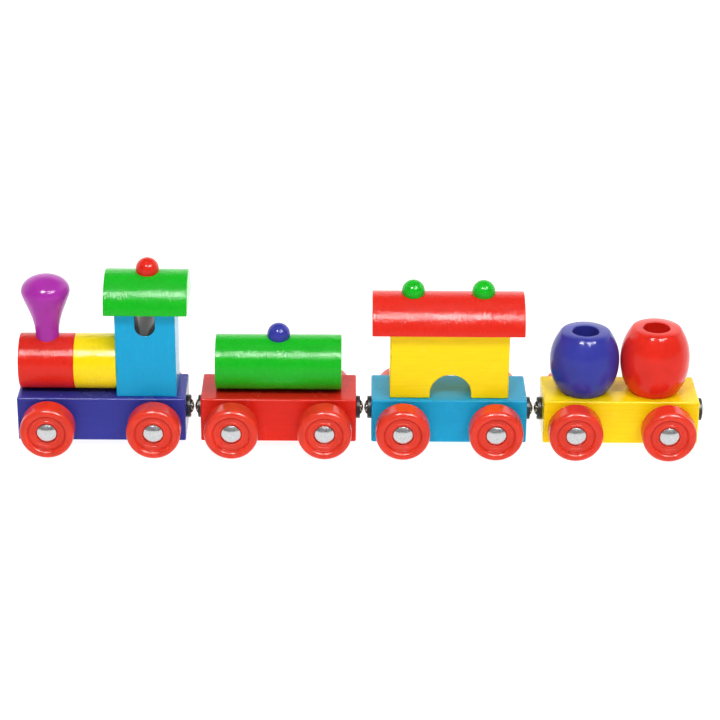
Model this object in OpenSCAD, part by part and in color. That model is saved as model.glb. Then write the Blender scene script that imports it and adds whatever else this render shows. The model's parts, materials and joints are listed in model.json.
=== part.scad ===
// Wooden train: a locomotive and three wagons, coupled end to end with ring magnets.
// The train stands on Z = 0 and runs along X, with the locomotive's front at low X.
// The origin is on the floor, under the middle of the whole train.

/* [Chassis blocks] */
// Length of the locomotive's chassis
loco_l = 94.7; // [88:0.1:110]
// Length of each wagon's chassis
wagon_l = 87.7; // [84:0.1:100]
// Width of every chassis across the track
chassis_w = 34.6; // [33:0.1:40]
// Height of every chassis block
chassis_h = 26.1; // [24:0.1:28]
// Clearance below every chassis block
chassis_z = 4.4; // [3.5:0.1:6]
// Rounding of every long wooden edge
edge_r = 1; // [0.5:0.1:1.5]
// Spaces between the chassis blocks, from front to rear
coupling_gaps = [8.5, 8.6, 9.4]; // [8.2:0.1:12]

/* [Running gear] */
// Diameter of the wheels
wheel_d = 30.4; // [28:0.1:32]
// Width of the wheels
wheel_w = 13.6; // [12:0.1:15]
// Distance between the locomotive's axles
loco_wheelbase = 59.5; // [56:0.1:62]
// Distance between each wagon's axles
wagon_wheelbase = 52.3; // [50:0.1:54]
// Front end of the locomotive's chassis to its front axle
loco_axle_x = 17.8; // [17:0.1:19]
// Front end of a wagon's chassis to its front axle
wagon_axle_x = 17.7; // [17:0.1:19]
// Diameter of the steel axles
axle_d = 4; // [3:0.5:5]
// Diameter of the push-on hub caps
cap_d = 10.7; // [9:0.1:11]

/* [Couplings] */
// Diameter of the ring magnets
magnet_d = 12.9; // [11:0.1:14]
// Height of the coupling's centre above the floor
coupling_z = 18.1; // [16:0.1:20]
// Diameter of the domed screw heads
screw_head_d = 9; // [8:0.1:10]
// How far a screw head stands out of its magnet
screw_head_h = 1.9; // [1.5:0.1:2.5]

/* [Locomotive] */
// Diameter of the boiler
boiler_d = 31.4; // [28:0.1:32]
// Chassis's front end to the boiler's front end
boiler_x = 1.3; // [0:0.1:3]
// Length of the front piece of the boiler
boiler_front_l = 31.1; // [28:0.1:34]
// Length of the rear piece of the boiler
boiler_rear_l = 23.7; // [20:0.1:26]
// Front end of the boiler to the chimney's centre
chimney_x = 15.6; // [14:0.1:17]
// Diameter of the chimney's head
chimney_head_d = 27.4; // [22:0.1:29]
// Diameter of the chimney's neck
chimney_neck_d = 13.2; // [10:0.1:14]
// Height of the chimney above the boiler's crown
chimney_h = 36; // [30:0.1:38]
// Length of the cab block
cab_l = 33.7; // [30:0.1:36]
// Depth of the cab block across the train
cab_w = 29; // [26:0.1:32]
// Height of the cab block
cab_h = 51.5; // [48:0.1:54]
// Width of the cab's window notch
notch_w = 11; // [8:0.1:14]
// Depth of the cab's window notch below the roof
notch_h = 14.2; // [10:0.1:16]
// Length of the cab roof
cab_roof_l = 46.4; // [40:0.1:50]
// Radius of the cab roof's curve
cab_roof_r = 19.8; // [18:0.1:22]
// Height of the cab roof from its flat underside to its crown
cab_roof_h = 19.1; // [17:0.1:19.8]
// Cab roof's overhang in front of the cab
cab_roof_front = 5.6; // [4:0.1:8]
// Diameter of the ball knobs
knob_d = 13; // [10:0.1:14]
// Height of a ball knob's centre above the crown that it sits in
knob_rise = 1.4; // [0.5:0.1:3]
// Cab roof's front end to its ball knob
cab_knob_x = 23.7; // [20:0.1:28]

/* [Tank wagon] */
// Diameter of the tank
tank_d = 31.4; // [28:0.1:32]
// Length of the tank
tank_l = 71; // [60:0.1:74]
// Chassis's front end to the tank's front end
tank_x = 8.3; // [5:0.1:10]

/* [House wagon] */
// Length of the house block
house_l = 66.8; // [60:0.1:70]
// Depth of the house block across the train
house_w = 28.8; // [26:0.1:32]
// Height of the house block
house_h = 40.2; // [36:0.1:42]
// Chassis's front end to the house's front end
house_x = 10.2; // [8:0.1:12]
// House's front end to the middle of its arch
arch_x = 34.2; // [33:0.1:35]
// Width of the arch through the house
arch_w = 23.1; // [16:0.1:26]
// Height of the arch through the house
arch_h = 14.3; // [13:0.1:18]
// Length of the house roof
house_roof_l = 85.1; // [76:0.1:90]
// Radius of the house roof's curve
house_roof_r = 19.8; // [18:0.1:22]
// Height of the house roof from its flat underside to its crown
house_roof_h = 18.1; // [16:0.1:19.8]
// Distance between the house roof's two ball knobs
house_knob_gap = 39.3; // [30:0.1:60]

/* [Barrel wagon] */
// Largest diameter of the barrels
barrel_d = 39.3; // [34:0.1:39.4]
// Heights of the front and the rear barrel
barrel_hs = [35.9, 38.2]; // [34:0.1:40]
// Diameter of the barrels' flat ends
barrel_end_d = 27.4; // [24:0.1:30]
// Diameter of the hole in each barrel's top
barrel_hole_d = 15; // [12:0.1:18]
// Depth of the hole in each barrel's top
barrel_hole_h = 22; // [10:0.5:28]
// Distance between the two barrels' centres
barrel_gap = 39.8; // [39.7:0.1:44]

/* [Hidden] */
$fn = 72;
LEFT = -1;
RIGHT = 1;
FRONT = 0;
REAR = 1;

wheel_names = ["wheel_front_left", "wheel_front_right", "wheel_rear_left", "wheel_rear_right"];
gear_names = concat(["front_axle", "rear_axle", "front_caps", "rear_caps"], wheel_names);
function prefixed(vehicle, names) = [for (n = names) str(vehicle, "_", n)];

// Colours of the lacquer and the metal
indigo = "#353a9b";
sky = "#12a3d4";
leaf = "#14b41e";
scarlet = "#de2819";
sunny = "#fdde0e";
violet = "#a52da0";
steel = "#c8ccd0";
ferrite = "#242426";

// Clearances: a glued dowel in its hole, and a turning pin in its bore
glue_gap = 0.03;
run_gap = 0.06;

// Couplings: the heads of two neighbours stand face to face, this far apart
head_gap = 0.3;
magnet_bore_d = 4.2;
screw_shank_d = 3.9;
screw_l = 11.5;
rear_reach = 5.4;
function reach(i) = i < len(coupling_gaps) ? (coupling_gaps[i] - head_gap) / 2 : rear_reach;

// Places along the train: each chassis block's front end
train_l = loco_l + 3 * wagon_l + coupling_gaps[0] + coupling_gaps[1] + coupling_gaps[2] + rear_reach;
loco_at = -train_l / 2;
tank_at = loco_at + loco_l + coupling_gaps[0];
house_at = tank_at + wagon_l + coupling_gaps[1];
barrel_at = house_at + wagon_l + coupling_gaps[2];
deck_z = chassis_z + chassis_h;

// Running gear
axle_z = wheel_d / 2;
wheel_gap = 2;
wheel_y = chassis_w / 2 + wheel_gap;
rim_r = 2.8;
rim_back_r = 2;
lip_r = 1.9;
disc_r = 10.1;
disc_drop = 2;
groove_h = 0.4;
counterbore_d = 12;
counterbore_h = 1.6;
cap_h = 2.9;
cap_skirt = 1.3;
axle_in_cap = 1.6;
cap_y = wheel_y + wheel_w - disc_drop - counterbore_h + 0.2;

// Dowels that hold the loads on the decks
dowel_d = 6;
dowel_l = 14;

// ---------------------------------------------------------------- shared shapes

// A flat rectangle with true round corners
module round_rect(size, r) {
    w = size[0] / 2 - r;
    h = size[1] / 2 - r;
    square([size[0] - 2 * r, size[1]], center = true);
    square([size[0], size[1] - 2 * r], center = true);
    for (x = [-w, w], y = [-h, h])
        translate([x, y])
            circle(r = r);
}

// A wooden block on Z = 0, starting at X = 0, with its edges rounded along all three axes
module block(size, r) {
    translate([size[0] / 2, 0, size[2] / 2])
        intersection() {
            linear_extrude(size[2] + 2, center = true)
                round_rect([size[0], size[1]], r);
            rotate([90, 0, 0])
                linear_extrude(size[1] + 2, center = true)
                    round_rect([size[0], size[2]], r);
            rotate([90, 0, 90])
                linear_extrude(size[0] + 2, center = true)
                    round_rect([size[1], size[2]], r);
        }
}

// A round bar along X with its two rims broken, starting at X = 0
module bar(d, l, rim = 0.4) {
    rotate([0, 90, 0])
        rotate_extrude()
            polygon([
                [0, 0], [d / 2 - rim, 0], [d / 2, rim],
                [d / 2, l - rim], [d / 2 - rim, l], [0, l]
            ]);
}

// A round bar along X sawn lengthwise, flat side down on Z = 0, with its crown at height h
module half_bar(r, h, l) {
    intersection() {
        translate([0, 0, h - r])
            bar(2 * r, l, 0.5);
        translate([-1, -r - 1, 0])
            cube([l + 2, 2 * r + 2, h + 1]);
    }
}

// Vertical dowels centred on a deck: one at each place along X
module deck_dowels(xs) {
    for (x = xs)
        translate([x, 0, deck_z - dowel_l / 2])
            cylinder(d = dowel_d, h = dowel_l);
}

// The holes that the dowels stand in
module deck_dowel_holes(xs) {
    for (x = xs)
        translate([x, 0, deck_z - dowel_l / 2 - glue_gap])
            cylinder(d = dowel_d + 2 * glue_gap, h = dowel_l + 2 * glue_gap);
}

// The bored hole along X for a coupling screw, from a chassis end inwards
module screw_hole(end_x, way) {
    translate([end_x - way * (screw_l + 0.5), 0, coupling_z])
        rotate([0, way * 90, 0])
            cylinder(d = screw_shank_d + 2 * glue_gap, h = screw_l + 1.5);
}

// A chassis block with its axle bores
module chassis(front_x, l, axles) {
    difference() {
        translate([front_x, 0, chassis_z])
            block([l, chassis_w, chassis_h], edge_r);
        for (x = axles)
            translate([front_x + x, 0, axle_z])
                rotate([90, 0, 0])
                    cylinder(d = axle_d + 2 * run_gap, h = chassis_w + 2, center = true);
        children();
    }
}

// A ring magnet against a chassis end; way is the direction out of the block
module magnet(end_x, way, out) {
    color(ferrite)
        translate([end_x, 0, coupling_z])
            rotate([0, way * 90, 0])
                difference() {
                    cylinder(d = magnet_d, h = out - screw_head_h);
                    translate([0, 0, -1])
                        cylinder(d = magnet_bore_d, h = out + 2);
                }
}

// The domed screw that holds a ring magnet
module coupling_screw(end_x, way, out) {
    dome_r = (pow(screw_head_d / 2, 2) + pow(screw_head_h, 2)) / (2 * screw_head_h);
    color(steel)
        translate([end_x, 0, coupling_z])
            rotate([0, way * 90, 0]) {
                translate([0, 0, -screw_l])
                    cylinder(d = screw_shank_d, h = screw_l + out - screw_head_h);
                intersection() {
                    translate([0, 0, out - dome_r])
                        sphere(r = dome_r);
                    translate([0, 0, out - screw_head_h])
                        cylinder(d = screw_head_d + 1, h = screw_head_h + 1);
                }
            }
}

// ---------------------------------------------------------------- running gear

module axle(x) {
    color(steel)
        translate([x, 0, axle_z])
            rotate([90, 0, 0])
                cylinder(d = axle_d, h = 2 * (cap_y + axle_in_cap), center = true);
}

// One domed cap in its own frame, pushed down on the axle's end from +Z
module cap() {
    r = cap_d / 2;
    rise = cap_h - cap_skirt;
    dome_r = (r * r + rise * rise) / (2 * rise);
    difference() {
        intersection() {
            cylinder(d = cap_d, h = cap_h);
            translate([0, 0, cap_h - dome_r])
                sphere(r = dome_r);
        }
        translate([0, 0, -1])
            cylinder(d = axle_d + 0.02, h = axle_in_cap + 1.01);
    }
}

// The two caps of one axle
module caps(x) {
    color(steel)
        for (side = [LEFT, RIGHT])
            translate([x, side * cap_y, axle_z])
                rotate([-90 * side, 0, 0])
                    cap();
}

// A turned wheel with a rounded rim, a sunken disc and a seat for the cap
module wheel(x, side) {
    r = wheel_d / 2;
    disc_z = wheel_w - disc_drop;
    crest_r = r - rim_r;
    color(scarlet)
        translate([x, side * wheel_y, axle_z])
            rotate([-90 * side, 0, 0])
                rotate_extrude()
                    polygon(concat(
                        [[axle_d / 2 + run_gap, 0], [r - rim_back_r, 0]],
                        [for (a = [-60:30:0]) [
                            r - rim_back_r + rim_back_r * cos(a),
                            rim_back_r + rim_back_r * sin(a)
                        ]],
                        [for (a = [0:15:90]) [
                            crest_r + rim_r * cos(a),
                            wheel_w - rim_r + rim_r * sin(a)
                        ]],
                        [for (a = [15:15:75]) [
                            crest_r - lip_r * sin(a),
                            wheel_w - lip_r + lip_r * cos(a)
                        ]],
                        [[disc_r + 0.4, disc_z - groove_h], [disc_r, disc_z - groove_h]],
                        [[disc_r - 0.3, disc_z], [counterbore_d / 2, disc_z]],
                        [[counterbore_d / 2, disc_z - counterbore_h]],
                        [[axle_d / 2 + run_gap, disc_z - counterbore_h]]
                    ));
}

// ---------------------------------------------------------------- locomotive

boiler_z = deck_z + boiler_d / 2;
boiler_at = loco_at + boiler_x;
boiler_join = boiler_at + boiler_front_l;
chimney_seat = 8;
loco_axles = [loco_axle_x, loco_axle_x + loco_wheelbase];
loco_dowels_x = [boiler_at + 7, boiler_join + 14];
cab_at = boiler_join + boiler_rear_l;
cab_roof_z = deck_z + cab_h;
cab_knob_at = [cab_at - cab_roof_front + cab_knob_x, 0, cab_roof_z + cab_roof_h + knob_rise];

module loco_chassis() {
    color(indigo)
        chassis(loco_at, loco_l, loco_axles) {
            deck_dowel_holes(loco_dowels_x);
            screw_hole(loco_at + loco_l, 1);
        }
}

module loco_boiler_front() {
    color(scarlet)
        difference() {
            translate([boiler_at, 0, boiler_z])
                bar(boiler_d, boiler_front_l);
            deck_dowel_holes([loco_dowels_x[0]]);
            translate([boiler_at + chimney_x, 0, boiler_z + boiler_d / 2 - chimney_seat])
                cylinder(d = chimney_neck_d + 2 * glue_gap, h = chimney_seat + 1);
        }
}

module loco_boiler_rear() {
    color(sunny)
        difference() {
            translate([boiler_join, 0, boiler_z])
                bar(boiler_d, boiler_rear_l, 0.2);
            deck_dowel_holes([loco_dowels_x[1]]);
        }
}

module loco_boiler_dowels() {
    color("burlywood")
        deck_dowels(loco_dowels_x);
}

// Radius of the chimney below its head, from t = 0 at the head to t = 1 at the boiler
function chimney_r(t) =
    chimney_neck_d / 2
    + (chimney_head_d - chimney_neck_d) / 4 * (1 + cos(180 * pow(t, 0.72)));

module loco_chimney() {
    cap_rise = 8.9;
    flare_h = chimney_h - cap_rise;
    foot_z = boiler_z + boiler_d / 2;
    color(violet)
        translate([boiler_at + chimney_x, 0, foot_z])
            rotate_extrude()
                polygon(concat(
                    [[0, -chimney_seat + 0.1], [chimney_neck_d / 2, -chimney_seat + 0.1]],
                    [for (i = [20:-1:1]) [chimney_r(i / 20), flare_h * (1 - i / 20)]],
                    [for (a = [0:10:80]) [
                        chimney_head_d / 2 * cos(a),
                        flare_h + cap_rise * sin(a)
                    ]],
                    [[0, chimney_h]]
                ));
}

module loco_cab() {
    notch_x = cab_at + cab_l / 2;
    notch_r = notch_w / 2;
    color(sky)
        difference() {
            translate([cab_at, 0, deck_z])
                block([cab_l, cab_w, cab_h], 0.6);
            translate([notch_x, 0, cab_roof_z - notch_h + notch_r])
                rotate([90, 0, 0]) {
                    cylinder(r = notch_r, h = cab_w + 2, center = true);
                    translate([0, notch_h / 2, 0])
                        cube([notch_w, notch_h, cab_w + 2], center = true);
                }
        }
}

module loco_cab_roof() {
    color(leaf)
        difference() {
            translate([cab_at - cab_roof_front, 0, cab_roof_z])
                half_bar(cab_roof_r, cab_roof_h, cab_roof_l);
            translate(cab_knob_at)
                sphere(d = knob_d + 2 * glue_gap);
        }
}

module loco_roof_knob() {
    color(scarlet)
        translate(cab_knob_at)
            sphere(d = knob_d);
}

module loco_magnet() magnet(loco_at + loco_l, 1, reach(0));
module loco_screw() coupling_screw(loco_at + loco_l, 1, reach(0));

// ---------------------------------------------------------------- wagons

wagon_axles = [wagon_axle_x, wagon_axle_x + wagon_wheelbase];

// Both ring magnets, or both screws, of the wagon that is number i behind the locomotive
module wagon_magnets(front_x, i) {
    magnet(front_x, -1, reach(i - 1));
    magnet(front_x + wagon_l, 1, reach(i));
}

module wagon_screws(front_x, i) {
    coupling_screw(front_x, -1, reach(i - 1));
    coupling_screw(front_x + wagon_l, 1, reach(i));
}

module wagon_chassis(front_x) {
    chassis(front_x, wagon_l, wagon_axles) {
        screw_hole(front_x, -1);
        screw_hole(front_x + wagon_l, 1);
        children();
    }
}

// The tank wagon
tank_z = deck_z + tank_d / 2;
tank_mid = tank_at + tank_x + tank_l / 2;
tank_dowels_x = [tank_mid - 22, tank_mid + 22];

module tank_chassis() {
    color(scarlet)
        wagon_chassis(tank_at)
            deck_dowel_holes(tank_dowels_x);
}

module tank_cylinder() {
    color(leaf)
        difference() {
            translate([tank_at + tank_x, 0, tank_z])
                bar(tank_d, tank_l);
            deck_dowel_holes(tank_dowels_x);
            translate([tank_mid, 0, tank_z + tank_d / 2 + knob_rise])
                sphere(d = knob_d + 2 * glue_gap);
        }
}

module tank_dowels() {
    color("burlywood")
        deck_dowels(tank_dowels_x);
}

module tank_knob() {
    color(indigo)
        translate([tank_mid, 0, tank_z + tank_d / 2 + knob_rise])
            sphere(d = knob_d);
}

// The house wagon; its roof stands a little ahead of the chassis's middle
house_roof_shift = 1.3;
house_roof_z = deck_z + house_h;
house_roof_mid = house_at + wagon_l / 2 - house_roof_shift;

module house_chassis() {
    color(sky)
        wagon_chassis(house_at);
}

module house_block() {
    arch_r = arch_w / 2;
    leg_h = arch_h - arch_r;
    color(sunny)
        difference() {
            translate([house_at + house_x, 0, deck_z])
                block([house_l, house_w, house_h], 1.2);
            translate([house_at + house_x + arch_x, 0, deck_z + leg_h])
                rotate([90, 0, 0]) {
                    cylinder(r = arch_r, h = house_w + 2, center = true);
                    translate([0, -leg_h, 0])
                        cube([arch_w, 2 * leg_h, house_w + 2], center = true);
                }
        }
}

module house_knob_places() {
    for (side = [-1, 1])
        translate([
            house_roof_mid + side * house_knob_gap / 2,
            0,
            house_roof_z + house_roof_h + knob_rise
        ])
            children();
}

module house_roof() {
    color(scarlet)
        difference() {
            translate([house_roof_mid - house_roof_l / 2, 0, house_roof_z])
                half_bar(house_roof_r, house_roof_h, house_roof_l);
            house_knob_places()
                sphere(d = knob_d + 2 * glue_gap);
        }
}

module house_knobs() {
    color(leaf)
        house_knob_places()
            sphere(d = knob_d);
}

// The barrel wagon; the pair of barrels stands a little ahead of the chassis's middle
barrel_shift = 0.7;
barrel_mid = barrel_at + wagon_l / 2 - barrel_shift;
barrel_xs = [barrel_mid - barrel_gap / 2, barrel_mid + barrel_gap / 2];
barrel_curve = 2.3;

module barrel_chassis() {
    color(sunny)
        wagon_chassis(barrel_at)
            deck_dowel_holes(barrel_xs);
}

// A turned barrel on the deck, bulging between its flat ends
module barrel(end) {
    x = barrel_xs[end];
    h = barrel_hs[end];
    bulge = (barrel_d - barrel_end_d) / 2;
    difference() {
        translate([x, 0, deck_z])
            rotate_extrude()
                polygon(concat(
                    [[0, 0]],
                    [for (i = [0:24]) [
                        barrel_end_d / 2 + bulge * (1 - pow(abs(i / 12 - 1), barrel_curve)),
                        h * i / 24
                    ]],
                    [[0, h]]
                ));
        translate([x, 0, deck_z + h - barrel_hole_h])
            cylinder(d = barrel_hole_d, h = barrel_hole_h + 1);
        deck_dowel_holes([x]);
    }
}

module barrel_front_barrel() color(indigo) barrel(FRONT);
module barrel_rear_barrel() color(scarlet) barrel(REAR);

module barrel_dowels() {
    color("burlywood")
        deck_dowels(barrel_xs);
}

// ---------------------------------------------------------------- nodes

loco_chassis();
loco_boiler_front();
loco_boiler_rear();
loco_boiler_dowels();
loco_chimney();
loco_cab();
loco_cab_roof();
loco_roof_knob();
loco_magnet();
loco_screw();
axle(loco_at + loco_axles[FRONT]);  // loco_front_axle
axle(loco_at + loco_axles[REAR]);  // loco_rear_axle
caps(loco_at + loco_axles[FRONT]);  // loco_front_caps
caps(loco_at + loco_axles[REAR]);  // loco_rear_caps
wheel(loco_at + loco_axles[FRONT], LEFT);  // loco_wheel_front_left
wheel(loco_at + loco_axles[FRONT], RIGHT);  // loco_wheel_front_right
wheel(loco_at + loco_axles[REAR], LEFT);  // loco_wheel_rear_left
wheel(loco_at + loco_axles[REAR], RIGHT);  // loco_wheel_rear_right

tank_chassis();
tank_cylinder();
tank_dowels();
tank_knob();
wagon_magnets(tank_at, 1);  // tank_magnets
wagon_screws(tank_at, 1);  // tank_screws
axle(tank_at + wagon_axles[FRONT]);  // tank_front_axle
axle(tank_at + wagon_axles[REAR]);  // tank_rear_axle
caps(tank_at + wagon_axles[FRONT]);  // tank_front_caps
caps(tank_at + wagon_axles[REAR]);  // tank_rear_caps
wheel(tank_at + wagon_axles[FRONT], LEFT);  // tank_wheel_front_left
wheel(tank_at + wagon_axles[FRONT], RIGHT);  // tank_wheel_front_right
wheel(tank_at + wagon_axles[REAR], LEFT);  // tank_wheel_rear_left
wheel(tank_at + wagon_axles[REAR], RIGHT);  // tank_wheel_rear_right

house_chassis();
house_block();
house_roof();
house_knobs();
wagon_magnets(house_at, 2);  // house_magnets
wagon_screws(house_at, 2);  // house_screws
axle(house_at + wagon_axles[FRONT]);  // house_front_axle
axle(house_at + wagon_axles[REAR]);  // house_rear_axle
caps(house_at + wagon_axles[FRONT]);  // house_front_caps
caps(house_at + wagon_axles[REAR]);  // house_rear_caps
wheel(house_at + wagon_axles[FRONT], LEFT);  // house_wheel_front_left
wheel(house_at + wagon_axles[FRONT], RIGHT);  // house_wheel_front_right
wheel(house_at + wagon_axles[REAR], LEFT);  // house_wheel_rear_left
wheel(house_at + wagon_axles[REAR], RIGHT);  // house_wheel_rear_right

barrel_chassis();
barrel_front_barrel();
barrel_rear_barrel();
barrel_dowels();
wagon_magnets(barrel_at, 3);  // barrel_magnets
wagon_screws(barrel_at, 3);  // barrel_screws
axle(barrel_at + wagon_axles[FRONT]);  // barrel_front_axle
axle(barrel_at + wagon_axles[REAR]);  // barrel_rear_axle
caps(barrel_at + wagon_axles[FRONT]);  // barrel_front_caps
caps(barrel_at + wagon_axles[REAR]);  // barrel_rear_caps
wheel(barrel_at + wagon_axles[FRONT], LEFT);  // barrel_wheel_front_left
wheel(barrel_at + wagon_axles[FRONT], RIGHT);  // barrel_wheel_front_right
wheel(barrel_at + wagon_axles[REAR], LEFT);  // barrel_wheel_rear_left
wheel(barrel_at + wagon_axles[REAR], RIGHT);  // barrel_wheel_rear_right
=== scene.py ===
"""A painted wooden train: a locomotive and three wagons with turned wheels and magnet couplings.

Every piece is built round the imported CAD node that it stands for, in metres, in the same frame:
X runs along the train (the locomotive at low X), Y across it and Z up from the floor.
"""

import json
import math

import bmesh
import bpy
from mathutils import Matrix, Vector


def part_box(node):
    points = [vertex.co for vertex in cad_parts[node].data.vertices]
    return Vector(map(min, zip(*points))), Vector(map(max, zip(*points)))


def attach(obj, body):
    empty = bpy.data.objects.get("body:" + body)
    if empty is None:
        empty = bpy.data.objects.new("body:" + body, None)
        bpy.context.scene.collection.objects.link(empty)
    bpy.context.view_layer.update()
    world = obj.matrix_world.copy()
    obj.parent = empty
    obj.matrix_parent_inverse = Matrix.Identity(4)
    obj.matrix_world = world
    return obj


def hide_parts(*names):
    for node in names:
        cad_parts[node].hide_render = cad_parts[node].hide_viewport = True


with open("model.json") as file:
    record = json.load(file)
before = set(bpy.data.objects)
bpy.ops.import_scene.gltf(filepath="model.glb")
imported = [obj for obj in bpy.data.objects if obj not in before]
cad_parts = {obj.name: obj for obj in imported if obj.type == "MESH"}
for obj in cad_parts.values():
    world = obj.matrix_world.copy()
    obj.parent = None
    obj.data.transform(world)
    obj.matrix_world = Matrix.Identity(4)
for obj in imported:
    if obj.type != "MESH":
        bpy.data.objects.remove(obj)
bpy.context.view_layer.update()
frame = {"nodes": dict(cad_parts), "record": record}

MM = 0.001
X, Y, Z = Vector((1, 0, 0)), Vector((0, 1, 0)), Vector((0, 0, 1))
VEHICLES = {
    "loco": "locomotive",
    "tank": "tank_wagon",
    "house": "house_wagon",
    "barrel": "barrel_wagon",
}
NODE_BODY = {
    node: body
    for body, nodes in frame["record"]["behaviour"]["bodies"].items()
    for node in nodes
}
NODE_SLOT = {s["node"]: s["material_slot"] for s in frame["record"]["subparts"]}
SLOT_COLOUR = {m["slot"]: m["base_color"][:3] for m in frame["record"]["materials"]}


# ------------------------------------------------------------------ camera, floor and light

CAMERA_ELEVATION = 24.6
CAMERA_AZIMUTH = -0.3
CAMERA_ROLL = 0.5
CAMERA_DISTANCE = 1.382
CAMERA_TARGET = Vector((-0.00195, 0, 0.0475))
CAMERA_LENS_MM = 122.16
FLOOR_SIZE = 8.0
FLOOR_GREY = 0.35
FLOOR_GLOW = 0.92
WORLD_WHITE = 1.5
WORLD_DIM = 0.15
WORLD_HORIZON = 0.6
KEY_PLACE = (-19, 52, 1.6)
FILL_PLACE = (36, 49, 1.6)
TOP_PLACE = (0, 88, 1.4)


def direction(azimuth, elevation):
    """The unit vector from the train towards a point at that azimuth and elevation, in degrees."""
    a, e = math.radians(azimuth), math.radians(elevation)
    return Vector((math.sin(a) * math.cos(e), -math.cos(a) * math.cos(e), math.sin(e)))


def add_camera():
    back = direction(CAMERA_AZIMUTH, CAMERA_ELEVATION)
    turn = back.to_track_quat("Z", "Y").to_matrix().to_4x4()
    roll = Matrix.Rotation(math.radians(CAMERA_ROLL), 4, "Z")
    data = bpy.data.cameras.new("camera")
    data.lens = CAMERA_LENS_MM
    data.sensor_width = 36
    data.clip_start = 0.05
    data.clip_end = 50
    camera = bpy.data.objects.new("camera", data)
    camera.matrix_world = Matrix.Translation(CAMERA_TARGET + back * CAMERA_DISTANCE) @ turn @ roll
    bpy.context.scene.collection.objects.link(camera)
    bpy.context.scene.camera = camera


def add_softbox(name, place, width, height, watts, highlight):
    """A rectangular light that faces the train: it makes highlights only, or lights paint only.

    The place is an azimuth and an elevation, in degrees, and a distance.
    """
    azimuth, elevation, distance = place
    data = bpy.data.lights.new(name, "AREA")
    data.shape = "RECTANGLE"
    data.size = width
    data.size_y = height
    data.energy = watts
    away = direction(azimuth, elevation)
    light = bpy.data.objects.new(name, data)
    light.matrix_world = (
        Matrix.Translation(CAMERA_TARGET + away * distance)
        @ away.to_track_quat("Z", "Y").to_matrix().to_4x4()
    )
    light.visible_glossy = highlight
    light.visible_diffuse = not highlight
    bpy.context.scene.collection.objects.link(light)


def add_floor():
    material = bpy.data.materials.new("white_floor")
    material.use_nodes = True
    shader = material.node_tree.nodes["Principled BSDF"]
    shader.inputs["Base Color"].default_value = (FLOOR_GREY, FLOOR_GREY, FLOOR_GREY, 1)
    shader.inputs["Roughness"].default_value = 0.9
    shader.inputs["Specular IOR Level"].default_value = 0.1
    shader.inputs["Emission Color"].default_value = (1, 1, 1, 1)
    shader.inputs["Emission Strength"].default_value = FLOOR_GLOW
    half = FLOOR_SIZE / 2
    mesh = bpy.data.meshes.new("floor")
    corners = [(-half, -half, 0), (half, -half, 0), (half, half, 0), (-half, half, 0)]
    mesh.from_pydata(corners, [], [(0, 1, 2, 3)])
    mesh.materials.append(material)
    floor = bpy.data.objects.new("floor", mesh)
    bpy.context.scene.collection.objects.link(floor)
    floor.visible_glossy = False


def ramp_over(tree, value, stops):
    """Grey levels along a value: stops are (position, level), with levels up to 1."""
    ramp = tree.nodes.new("ShaderNodeValToRGB")
    tree.links.new(value, ramp.inputs["Fac"])
    while len(ramp.color_ramp.elements) < len(stops):
        ramp.color_ramp.elements.new(0.5)
    for element, (position, level) in zip(ramp.color_ramp.elements, stops):
        element.position = position
        element.color = (level, level, level, 1)
    return ramp.outputs["Color"]


def add_world():
    """A white screen behind the train; a room in front that is dim above the horizon."""
    world = bpy.data.worlds.new("studio")
    world.use_nodes = True
    tree = world.node_tree
    background = tree.nodes["Background"]
    where = tree.nodes.new("ShaderNodeTexCoord")
    split = tree.nodes.new("ShaderNodeSeparateXYZ")
    tree.links.new(where.outputs["Generated"], split.inputs[0])
    screen = ramp_over(tree, split.outputs["Z"], [(0.0, 1.0), (0.5, 1.0), (0.75, WORLD_DIM)])
    dims = [(0.0, WORLD_HORIZON), (0.05, WORLD_DIM), (1.0, WORLD_DIM)]
    room = ramp_over(tree, split.outputs["Z"], dims)
    behind = ramp_over(tree, split.outputs["Y"], [(0.0, 0.0), (0.25, 1.0)])
    mix = tree.nodes.new("ShaderNodeMix")
    mix.data_type = "RGBA"
    tree.links.new(behind, mix.inputs["Factor"])
    tree.links.new(room, mix.inputs["A"])
    tree.links.new(screen, mix.inputs["B"])
    tree.links.new(mix.outputs["Result"], background.inputs["Color"])
    background.inputs["Strength"].default_value = WORLD_WHITE
    bpy.context.scene.world = world


def add_studio():
    add_camera()
    add_floor()
    add_world()
    add_softbox("key_left", KEY_PLACE, 0.26, 0.3, watts=7.1, highlight=False)
    add_softbox("fill_right", FILL_PLACE, 0.6, 0.36, watts=7.6, highlight=False)
    add_softbox("top_fill", TOP_PLACE, 1.0, 0.6, watts=7.5, highlight=False)
    add_softbox("highlight_left", KEY_PLACE, 0.3, 0.36, watts=44, highlight=True)
    add_softbox("highlight_right", FILL_PLACE, 0.75, 0.45, watts=60, highlight=True)
    bpy.context.scene.view_settings.view_transform = "Standard"


# ------------------------------------------------------------------ materials

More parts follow.
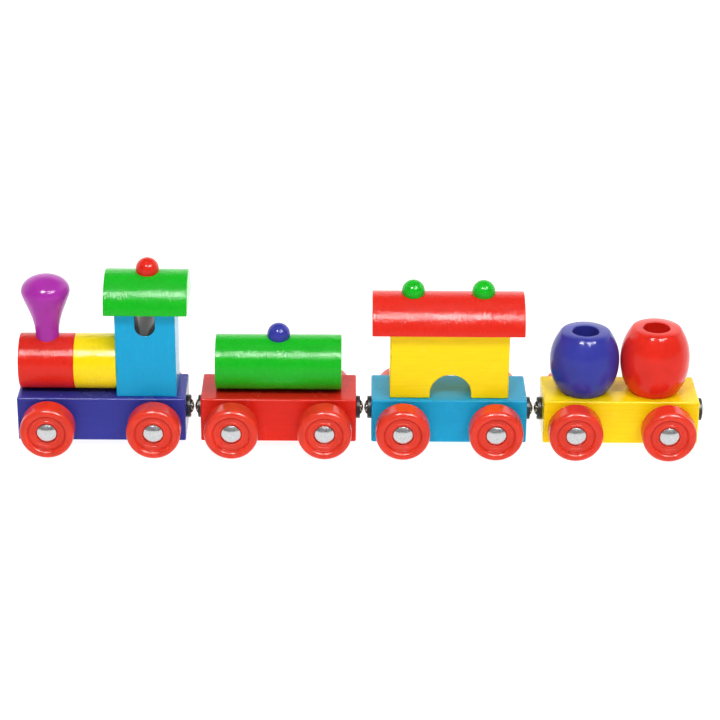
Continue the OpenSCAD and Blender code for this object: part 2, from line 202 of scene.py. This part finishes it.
class Nodes:
    """Small helper round a node tree, so that each material reads as a list of steps."""

    def __init__(self, material):
        material.use_nodes = True
        self.tree = material.node_tree
        self.shader = self.tree.nodes["Principled BSDF"]

    def add(self, kind, inputs=None, **settings):
        node = self.tree.nodes.new(kind)
        for key, value in settings.items():
            setattr(node, key, value)
        for key, value in (inputs or {}).items():
            if isinstance(value, bpy.types.NodeSocket):
                self.tree.links.new(value, node.inputs[key])
            else:
                node.inputs[key].default_value = value
        return node

    def link(self, output, key):
        self.tree.links.new(output, self.shader.inputs[key])

    def set(self, **values):
        for key, value in values.items():
            self.shader.inputs[key.replace("_", " ")].default_value = value

    def place(self, stretch, turn=(0, 0, 0)):
        """Object coordinates scaled by stretch: larger numbers make finer detail along that axis."""
        where = self.add("ShaderNodeTexCoord")
        return self.add(
            "ShaderNodeMapping",
            {"Vector": where.outputs["Object"], "Scale": stretch, "Rotation": turn},
        ).outputs["Vector"]

    def noise(self, place, scale, detail=3.0, rough=0.55):
        return self.add(
            "ShaderNodeTexNoise",
            {"Vector": place, "Scale": scale, "Detail": detail, "Roughness": rough},
        ).outputs["Fac"]

    def ramp(self, value, low, high, from_low=0.35, from_high=0.65):
        node = self.add(
            "ShaderNodeMapRange",
            {
                "Value": value,
                "From Min": from_low,
                "From Max": from_high,
                "To Min": low,
                "To Max": high,
            },
        )
        return node.outputs["Result"]

    def shade(self, colour, factor):
        """The base colour, made darker and lighter by factor, a value near 1."""
        return self.add(
            "ShaderNodeVectorMath",
            {0: (colour[0], colour[1], colour[2]), "Scale": factor},
            operation="SCALE",
        ).outputs["Vector"]

    def bump(self, height, strength, distance, below=None):
        inputs = {"Height": height, "Strength": strength, "Distance": distance}
        if below is not None:
            inputs["Normal"] = below
        return self.add("ShaderNodeBump", inputs).outputs["Normal"]


GLOSS_INDEX = 1.34
TURNED_ROUGH = 0.1
WHEEL_ROUGH = 0.17
SATIN_INDEX = 1.25
GRAIN_ALONG = {"x": (60, 900, 900), "z": (900, 900, 60)}


def glossy_paint(name, index=GLOSS_INDEX):
    """The start of every lacquer: a clear gloss with a low index, which keeps its colour deep."""
    material = bpy.data.materials.new(name)
    n = Nodes(material)
    n.set(IOR=index)
    return material, n


def sawn(name, colour, along):
    """Lacquer on a planed block: the grain shows faintly as long low ridges."""
    material, n = glossy_paint(name, SATIN_INDEX)
    grain = n.noise(n.place(GRAIN_ALONG[along]), 1.0, 4.0, 0.6)
    slow = n.noise(n.place((1, 1, 1)), 70.0, 2.0)
    n.link(n.shade(colour, n.ramp(grain, 0.96, 1.04)), "Base Color")
    n.link(n.ramp(slow, 0.2, 0.28), "Roughness")
    n.link(n.bump(grain, 0.12, 0.1 * MM, n.bump(slow, 0.15, 0.4 * MM)), "Normal")
    return material


NOTCH_R, NOTCH_H = 5.5 * MM, 14.2 * MM
# Painted shade: the near-black colour laid over the faces of the cab's slot, which lie in shade under
# the roof.
NOTCH_PAINTED_SHADE = (0.018, 0.024, 0.03, 1)
NOTCH_SHADE_FADE = (0.05 * MM, 0.35 * MM)


def painted_shade_slot(name, colour):
    """The cab's lacquer: as on the other blocks, but with painted shade, a near-black colour, on the
    faces of the slot under the roof.
    """
    material = sawn(name, colour, "z")
    n = Nodes(material)
    low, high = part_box("loco_cab")
    middle = ((low.x + high.x) / 2, 0, high.z - NOTCH_H + NOTCH_R)
    where = n.add("ShaderNodeTexCoord").outputs["Object"]
    away = n.add("ShaderNodeVectorMath", {0: where, 1: middle}, operation="SUBTRACT")
    inside = n.add(
        "ShaderNodeVectorMath", {0: away.outputs["Vector"], 1: (1, 0, 0)}, operation="MINIMUM"
    )
    inside = n.add(
        "ShaderNodeVectorMath", {0: inside.outputs["Vector"], 1: (1, 0, 1)}, operation="MULTIPLY"
    )
    distance = n.add("ShaderNodeVectorMath", {0: inside.outputs["Vector"]}, operation="LENGTH")
    near, far = (NOTCH_R + fade for fade in NOTCH_SHADE_FADE)
    # Painted shade mask: 1 on the slot's faces, fading to 0 just outside them.
    painted_shade_mask = n.ramp(distance.outputs["Value"], 1.0, 0.0, near, far)
    paint = n.shader.inputs["Base Color"].links[0].from_socket
    mix = n.add("ShaderNodeMix", {"Factor": painted_shade_mask}, data_type="RGBA")
    n.tree.links.new(paint, mix.inputs["A"])
    mix.inputs["B"].default_value = NOTCH_PAINTED_SHADE
    n.link(mix.outputs["Result"], "Base Color")
    return material


def rippled(name, colour):
    """Lacquer on a bar sanded as it turned: fine ripples round the bar break its highlight up."""
    material, n = glossy_paint(name)
    rings = n.noise(n.place((1100, 320, 320), (0, 0.2, 0.2)), 1.0, 2.0, 0.55)
    patches = n.noise(n.place((90, 160, 160)), 1.0, 2.0)
    n.link(n.shade(colour, n.ramp(rings, 0.97, 1.03)), "Base Color")
    n.link(n.ramp(patches, 0.12, 0.2), "Roughness")
    n.link(n.bump(rings, 1.0, 0.36 * MM), "Normal")
    return material


def turned(name, colour, rough=TURNED_ROUGH):
    """Lacquer on a turned piece: smooth, with slow waves."""
    material, n = glossy_paint(name)
    slow = n.noise(n.place((1, 1, 1)), 110.0, 2.0)
    fine = n.noise(n.place((1, 1, 1)), 700.0, 2.0)
    n.link(n.shade(colour, n.ramp(slow, 0.95, 1.05)), "Base Color")
    n.link(n.ramp(slow, rough, rough * 1.6), "Roughness")
    n.link(n.bump(fine, 0.15, 0.1 * MM, n.bump(slow, 0.3, 0.4 * MM)), "Normal")
    return material


def metal(name, colour, rough, scale, strength):
    """Bare or plated metal with fine uneven wear in its polish."""
    material = bpy.data.materials.new(name)
    n = Nodes(material)
    cloud = n.noise(n.place((1, 1, 1)), scale, 4.0)
    n.link(n.shade(colour, n.ramp(cloud, 0.9, 1.05)), "Base Color")
    n.link(n.ramp(cloud, rough * 0.7, rough * 1.5), "Roughness")
    n.link(n.bump(cloud, strength, 0.05 * MM), "Normal")
    n.set(Metallic=1.0)
    return material


def ferrite(name, colour):
    """Black sintered magnet: fine-grained, with a dull sheen."""
    material = bpy.data.materials.new(name)
    n = Nodes(material)
    grit = n.noise(n.place((1, 1, 1)), 2500, 3.0)
    n.link(n.shade(colour, n.ramp(grit, 0.7, 1.4)), "Base Color")
    n.link(n.ramp(grit, 0.28, 0.45), "Roughness")
    n.link(n.bump(grit, 0.3, 0.03 * MM), "Normal")
    return material


def bare_wood(name, colour):
    material = bpy.data.materials.new(name)
    n = Nodes(material)
    grain = n.noise(n.place(GRAIN_ALONG["z"]), 1.0, 4.0)
    n.link(n.shade(colour, n.ramp(grain, 0.8, 1.15)), "Base Color")
    n.link(n.ramp(grain, 0.5, 0.7), "Roughness")
    n.link(n.bump(grain, 0.4, 0.1 * MM), "Normal")
    return material


def make_materials():
    """One material for each slot, and for each way that a lacquered piece of it is shaped."""
    made = {}
    for slot, colour in SLOT_COLOUR.items():
        if slot.endswith("_lacquer"):
            made[slot, "block"] = sawn(f"{slot}_block", colour, "x")
            made[slot, "bar"] = rippled(f"{slot}_bar", colour)
            rough = WHEEL_ROUGH if slot == "wheel_lacquer" else TURNED_ROUGH
            made[slot, "turned"] = turned(f"{slot}_turned", colour, rough)
    cab_slot = NODE_SLOT["loco_cab"]
    # The cab's upright-grain lacquer, with painted shade on the faces of its slot.
    made[cab_slot, "upright_painted_shade"] = painted_shade_slot(f"{cab_slot}_slotted", SLOT_COLOUR[cab_slot])
    made["raw_dowel"] = bare_wood("raw_dowel", SLOT_COLOUR["raw_dowel"])
    made["ferrite"] = ferrite("ferrite", SLOT_COLOUR["ferrite"])
    made["cap_steel"] = metal("cap_steel", SLOT_COLOUR["cap_steel"], 0.16, 1100, 0.8)
    made["axle_steel"] = metal("axle_steel", SLOT_COLOUR["axle_steel"], 0.3, 900, 0.3)
    made["screw_nickel"] = metal("screw_nickel", SLOT_COLOUR["screw_nickel"], 0.1, 700, 0.2)
    return made


# ------------------------------------------------------------------ mesh tools

def add_object(name, bm, smooth_angle=35):
    """Turns a bmesh into an object that is smooth except over edges sharper than smooth_angle."""
    bmesh.ops.remove_doubles(bm, verts=bm.verts, dist=1e-7)
    bmesh.ops.recalc_face_normals(bm, faces=bm.faces)
    limit = math.radians(smooth_angle)
    for edge in bm.edges:
        edge.smooth = not (edge.is_manifold and edge.calc_face_angle(0) > limit)
    for face in bm.faces:
        face.smooth = True
    mesh = bpy.data.meshes.new(name)
    bm.to_mesh(mesh)
    bm.free()
    piece = bpy.data.objects.new(name, mesh)
    bpy.context.scene.collection.objects.link(piece)
    return piece


def apply_modifiers(piece):
    """Writes the modifiers into the mesh."""
    view = bpy.context.evaluated_depsgraph_get()
    mesh = bpy.data.meshes.new_from_object(piece.evaluated_get(view))
    old = piece.data
    piece.modifiers.clear()
    piece.data = mesh
    bpy.data.meshes.remove(old)
    return piece


def bevel(piece, width, segments=3, angle=40):
    modifier = piece.modifiers.new("bevel", "BEVEL")
    modifier.width = width
    modifier.segments = segments
    modifier.limit_method = "ANGLE"
    modifier.angle_limit = math.radians(angle)
    modifier.harden_normals = True
    return apply_modifiers(piece)


def lathe(name, profile, start, axis, steps=96, smooth_angle=35):
    """Turns a profile of (radius, height) points, in metres, round a line from start along axis."""
    turn = axis.to_track_quat("Z", "Y").to_matrix()
    bm = bmesh.new()
    rings = []
    for radius, height in profile:
        if radius < 1e-7:
            rings.append([bm.verts.new(start + turn @ Vector((0, 0, height)))])
            continue
        ring = []
        for i in range(steps):
            a = 2 * math.pi * i / steps
            spot = Vector((radius * math.cos(a), radius * math.sin(a), height))
            ring.append(bm.verts.new(start + turn @ spot))
        rings.append(ring)
    for low, high in zip(rings, rings[1:]):
        for i in range(steps):
            j = (i + 1) % steps
            corners = [low[i % len(low)], low[j % len(low)], high[j % len(high)], high[i % len(high)]]
            unique = list(dict.fromkeys(corners))
            if len(unique) > 2:
                bm.faces.new(unique)
    return add_object(name, bm, smooth_angle)


def prism(name, outline, origin, across, up, depth):
    """An outline of (across, up) points, in metres, pushed both ways by half of depth."""
    out = across.cross(up)
    bm = bmesh.new()
    sides = []
    for side in (-0.5, 0.5):
        spots = [origin + across * a + up * u + out * (side * depth) for a, u in outline]
        sides.append([bm.verts.new(p) for p in spots])
    bm.faces.new(sides[0])
    bm.faces.new(sides[1])
    for i in range(len(outline)):
        j = (i + 1) % len(outline)
        bm.faces.new([sides[0][i], sides[0][j], sides[1][j], sides[1][i]])
    return add_object(name, bm)


def arc(centre, radius, start, end, steps):
    """Points on a circle from one angle to another, in degrees, ends included."""
    points = []
    for i in range(steps + 1):
        a = math.radians(start + (end - start) * i / steps)
        points.append((centre[0] + radius * math.cos(a), centre[1] + radius * math.sin(a)))
    return points


def dress(piece, node, shape=None):
    """Gives a new piece its material and its body, and hides the CAD node that it stands for."""
    slot = NODE_SLOT[node]
    material = MATERIALS[(slot, shape)] if shape else MATERIALS[slot]
    piece.data.materials.clear()
    piece.data.materials.append(material)
    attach(piece, NODE_BODY[node])
    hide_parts(node)
    return piece


# ------------------------------------------------------------------ wooden pieces

def wooden_block(node, radius, segments=4):
    """A plain block with softly rounded edges, as long, wide and high as its CAD node."""
    low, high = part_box(node)
    w, h = (high.x - low.x) / 2, (high.z - low.z) / 2
    outline = [(-w, -h), (w, -h), (w, h), (-w, h)]
    piece = prism(f"{node}_wood", outline, (low + high) / 2, X, Z, high.y - low.y)
    bevel(piece, radius, segments)
    return dress(piece, node, "block")


def bar(node, rim):
    """A round bar along X with softened rims."""
    low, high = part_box(node)
    radius, length = (high.z - low.z) / 2, high.x - low.x
    quarter = [(math.sin(math.radians(a)), 1 - math.cos(math.radians(a))) for a in range(0, 91, 18)]
    front = [(radius - rim + rim * s, rim * c) for s, c in quarter]
    back = [(r, length - h) for r, h in reversed(front)]
    start = Vector((low.x, 0, (low.z + high.z) / 2))
    piece = lathe(f"{node}_wood", [(0, 0), *front, *back, (0, length)], start, X, 128)
    return dress(piece, node, "bar")


def half_bar(node, rim):
    """A roof: a round bar sawn along its length, flat side down."""
    low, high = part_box(node)
    half, rise = (high.y - low.y) / 2, high.z - low.z
    radius = (half * half + rise * rise) / (2 * rise)
    centre = rise - radius
    reach = math.degrees(math.atan2(-centre, half))
    outline = arc((0, centre), radius, reach, 180 - reach, 72)
    origin = Vector(((low.x + high.x) / 2, 0, low.z))
    piece = prism(f"{node}_wood", outline, origin, Y, Z, high.x - low.x)
    bevel(piece, rim, 3)
    return dress(piece, node, "bar")


def ball(name, centre, radius):
    """A turned ball, not yet dressed."""
    turns = [math.pi * i / 48 for i in range(49)]
    profile = [(radius * math.sin(a), -radius * math.cos(a)) for a in turns]
    return lathe(name, profile, centre, Z, 96, 60)


def knob(node):
    """The one ball knob of a node."""
    low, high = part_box(node)
    radius = (high.x - low.x) / 2
    centre = Vector(((low.x + high.x) / 2, 0, high.z - radius))
    return dress(ball(f"{node}_ball", centre, radius), node, "turned")


# ------------------------------------------------------------------ build

def build_chassis():
    for vehicle in VEHICLES:
        wooden_block(f"{vehicle}_chassis", 1.0 * MM)


def build_running_gear():
    for vehicle in VEHICLES:
        for end in ("front", "rear"):
            for side in ("left", "right"):
                wheel(f"{vehicle}_wheel_{end}_{side}", -1 if side == "left" else 1)
            caps(f"{vehicle}_{end}_caps")


WHEEL_RIM = 2.8 * MM
WHEEL_BACK = 2.0 * MM
WHEEL_LIP = 1.9 * MM
WHEEL_DISC_R = 10.1 * MM
WHEEL_DROP = 2.0 * MM
SEAT_R = 6.0 * MM
SEAT_H = 1.6 * MM
GROOVE_R = 0.35 * MM
RING_AT = 7.6 * MM
RING_R = 0.3 * MM
SEAT_EDGE = 0.25 * MM
BORE_R = 2.06 * MM


def wheel_profile(radius, width):
    """The turned section of a wheel, from the bore's inner end outwards and back down to the bore."""
    disc = width - WHEEL_DROP
    crest = radius - WHEEL_RIM
    back = arc((radius - WHEEL_BACK, WHEEL_BACK), WHEEL_BACK, -90, 0, 8)
    rim = arc((crest, width - WHEEL_RIM), WHEEL_RIM, 0, 90, 14)
    lip = arc((crest, width - WHEEL_LIP), WHEEL_LIP, 90, 172, 10)
    groove = arc((WHEEL_DISC_R + 0.1 * MM, disc - 0.05 * MM), GROOVE_R, 0, -180, 6)
    ring = arc((RING_AT, disc + 0.12 * MM), RING_R, -25, -155, 4)
    edge = arc((SEAT_R + SEAT_EDGE, disc - SEAT_EDGE), SEAT_EDGE, 90, 180, 3)
    return [
        (BORE_R, 0), *back, *rim, *lip[1:], *groove, *ring, *edge,
        (SEAT_R, disc - SEAT_H), (BORE_R, disc - SEAT_H), (BORE_R, 0),
    ]


def wheel(node, side):
    low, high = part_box(node)
    radius, width = (high.z - low.z) / 2, high.y - low.y
    inner = high.y if side < 0 else low.y
    start = Vector(((low.x + high.x) / 2, inner, (low.z + high.z) / 2))
    piece = lathe(f"{node}_turned", wheel_profile(radius, width), start, Y * side, 128, 40)
    return dress(piece, node, "turned")


def caps(node):
    """The two domed push-on caps of one axle, as one piece with a rolled lower edge."""
    low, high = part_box(node)
    centre = (low + high) / 2
    radius = (high.z - low.z) / 2
    rise, skirt = 1.6 * MM, 1.3 * MM
    dome_r = (radius * radius + rise * rise) / (2 * rise)
    start_angle = math.degrees(math.acos(radius / dome_r))
    dome = arc((0, skirt + rise - dome_r), dome_r, start_angle, 90, 14)
    hole, edge = 2.1 * MM, 0.2 * MM
    profile = [(hole, 0), (radius - edge, 0), (radius, edge), *dome]
    halves = []
    for side in (-1, 1):
        outer = low.y if side < 0 else high.y
        start = Vector((centre.x, outer - side * (skirt + rise), centre.z))
        halves.append(lathe(f"{node}_{side}", profile, start, Y * side, 64, 40))
    piece = join(halves, f"{node}_domed")
    return dress(piece, node)


def join(pieces, name):
    """Several meshes as one object."""
    bm = bmesh.new()
    for p in pieces:
        bm.from_mesh(p.data)
        mesh = p.data
        bpy.data.objects.remove(p)
        bpy.data.meshes.remove(mesh)
    mesh = bpy.data.meshes.new(name)
    bm.to_mesh(mesh)
    bm.free()
    piece = bpy.data.objects.new(name, mesh)
    bpy.context.scene.collection.objects.link(piece)
    return piece


CHIMNEY_NECK_R = 6.6 * MM
CHIMNEY_CAP_RISE = 8.9 * MM
CHIMNEY_FLARE = 0.72


def chimney_profile(height, head_r, neck_r, seat):
    """From the seat in the boiler, up the flared neck and over the domed head."""
    flare = height - CHIMNEY_CAP_RISE
    points = [(0, -seat), (neck_r, -seat)]
    steps = 40
    for i in range(steps, 0, -1):
        t = i / steps
        swell = (1 + math.cos(math.pi * t ** CHIMNEY_FLARE)) / 2
        points.append((neck_r + (head_r - neck_r) * swell, flare * (1 - t)))
    for i in range(0, 91, 5):
        a = math.radians(i)
        points.append((head_r * math.cos(a), flare + CHIMNEY_CAP_RISE * math.sin(a)))
    points[-1] = (0, height)
    return points


def build_locomotive():
    bar("loco_boiler_front", 0.45 * MM)
    bar("loco_boiler_rear", 0.25 * MM)
    low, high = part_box("loco_chimney")
    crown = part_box("loco_boiler_front")[1].z
    head_r = (high.x - low.x) / 2
    profile = chimney_profile(high.z - crown, head_r, CHIMNEY_NECK_R, crown - low.z)
    foot = Vector(((low.x + high.x) / 2, 0, crown))
    chimney = lathe("loco_chimney_turned", profile, foot, Z, 128, 50)
    dress(chimney, "loco_chimney", "turned")
    build_cab()
    half_bar("loco_cab_roof", 0.5 * MM)
    knob("loco_roof_knob")


def build_cab():
    low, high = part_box("loco_cab")
    half, height = (high.x - low.x) / 2, high.z - low.z
    notch = arc((0, height - NOTCH_H + NOTCH_R), NOTCH_R, 0, -180, 20)
    outline = [(-half, 0), (half, 0), (half, height), (NOTCH_R, height), *notch,
               (-NOTCH_R, height), (-half, height)]
    origin = Vector(((low.x + high.x) / 2, 0, low.z))
    cab = prism("loco_cab_wood", outline, origin, X, Z, high.y - low.y)
    bevel(cab, 0.6 * MM, 3, 50)
    # The cab's lacquer lays painted shade over the faces of the slot under the roof.
    dress(cab, "loco_cab", "upright_painted_shade")


def build_tank_wagon():
    bar("tank_cylinder", 0.45 * MM)
    knob("tank_knob")


ARCH_R = 11.55 * MM
ARCH_H = 14.3 * MM
ARCH_X = 34.2 * MM


def build_house_wagon():
    low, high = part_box("house_block")
    half, height = (high.x - low.x) / 2, high.z - low.z
    arch_r, arch_h = ARCH_R, ARCH_H
    arch_x = ARCH_X - half
    arch = arc((arch_x, arch_h - arch_r), arch_r, 180, 0, 36)
    outline = [(-half, 0), (arch_x - arch_r, 0), *arch, (arch_x + arch_r, 0), (half, 0),
               (half, height), (-half, height)]
    origin = Vector(((low.x + high.x) / 2, 0, low.z))
    block = prism("house_block_wood", outline, origin, X, Z, high.y - low.y)
    bevel(block, 1.0 * MM, 4, 50)
    dress(block, "house_block", "block")
    half_bar("house_roof", 0.5 * MM)
    low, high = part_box("house_knobs")
    r = (high.y - low.y) / 2
    centres = [Vector((x, 0, high.z - r)) for x in (low.x + r, high.x - r)]
    balls = [ball(f"house_knob_{i}", centre, r) for i, centre in enumerate(centres)]
    dress(join(balls, "house_knobs_balls"), "house_knobs", "turned")


BARREL_END_R = 13.7 * MM
BARREL_HOLE_R = 7.5 * MM
BARREL_HOLE_H = 22 * MM
BARREL_CURVE = 2.3
BARREL_LIP = 0.4 * MM


def barrel(node):
    """A turned barrel with flat ends and a round hole down into its top."""
    low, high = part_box(node)
    height, radius = high.z - low.z, (high.x - low.x) / 2
    end_r, hole_r, lip = BARREL_END_R, BARREL_HOLE_R, BARREL_LIP
    side = []
    steps = 48
    for i in range(steps + 1):
        swell = 1 - abs(2 * i / steps - 1) ** BARREL_CURVE
        side.append((end_r + (radius - end_r) * swell, height * i / steps))
    hole_floor = height - BARREL_HOLE_H
    profile = [(0, 0), (end_r - lip, 0), *side[1:-1], (end_r + 0.1 * MM, height - 0.25 * MM),
               (end_r - lip, height), (hole_r + lip, height), (hole_r, height - lip),
               (hole_r, hole_floor), (0, hole_floor)]
    foot = Vector(((low.x + high.x) / 2, 0, low.z))
    dress(lathe(f"{node}_turned", profile, foot, Z, 128, 30), node, "turned")


def build_barrel_wagon():
    barrel("barrel_front_barrel")
    barrel("barrel_rear_barrel")


def build_couplings():
    for vehicle in VEHICLES:
        many = "" if vehicle == "loco" else "s"
        magnet_node, screw_node = f"{vehicle}_magnet{many}", f"{vehicle}_screw{many}"
        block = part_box(f"{vehicle}_chassis")
        ends = [(block[1].x, 1)] if vehicle == "loco" else [(block[0].x, -1), (block[1].x, 1)]
        rings, screws = [], []
        for end_x, way in ends:
            low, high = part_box(magnet_node)
            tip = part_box(screw_node)[1].x if way > 0 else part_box(screw_node)[0].x
            face = high.x if way > 0 else low.x
            start = Vector((end_x, 0, (low.z + high.z) / 2))
            thick = abs(face - end_x)
            radius, edge, hole = (high.z - low.z) / 2, 0.35 * MM, 2.1 * MM
            ring = [(hole, 0), (radius - edge, 0), (radius, edge), (radius, thick - edge),
                    (radius - edge, thick), (hole, thick), (hole, 0)]
            rings.append(lathe(f"{magnet_node}_{way}", ring, start, X * way, 72))
            head_r, rise = 4.5 * MM, abs(tip - face)
            dome_r = (head_r ** 2 + rise ** 2) / (2 * rise)
            dome = arc((0, thick + rise - dome_r), dome_r,
                       math.degrees(math.acos(head_r / dome_r)), 90, 12)
            head = [(0, thick), (head_r, thick), *dome]
            screws.append(lathe(f"{screw_node}_{way}", head, start, X * way, 64, 50))
        dress(join(rings, f"{magnet_node}_ring"), magnet_node)
        dress(join(screws, f"{screw_node}_head"), screw_node)


def finish_hidden_nodes():
    """Axles and dowels keep their CAD shape and get a real surface."""
    for node, piece in frame["nodes"].items():
        if not piece.hide_render:
            piece.data.materials.clear()
            piece.data.materials.append(MATERIALS[NODE_SLOT[node]])


MATERIALS = make_materials()
add_studio()
build_chassis()
build_running_gear()
build_couplings()
build_locomotive()
build_tank_wagon()
build_house_wagon()
build_barrel_wagon()
finish_hidden_nodes()
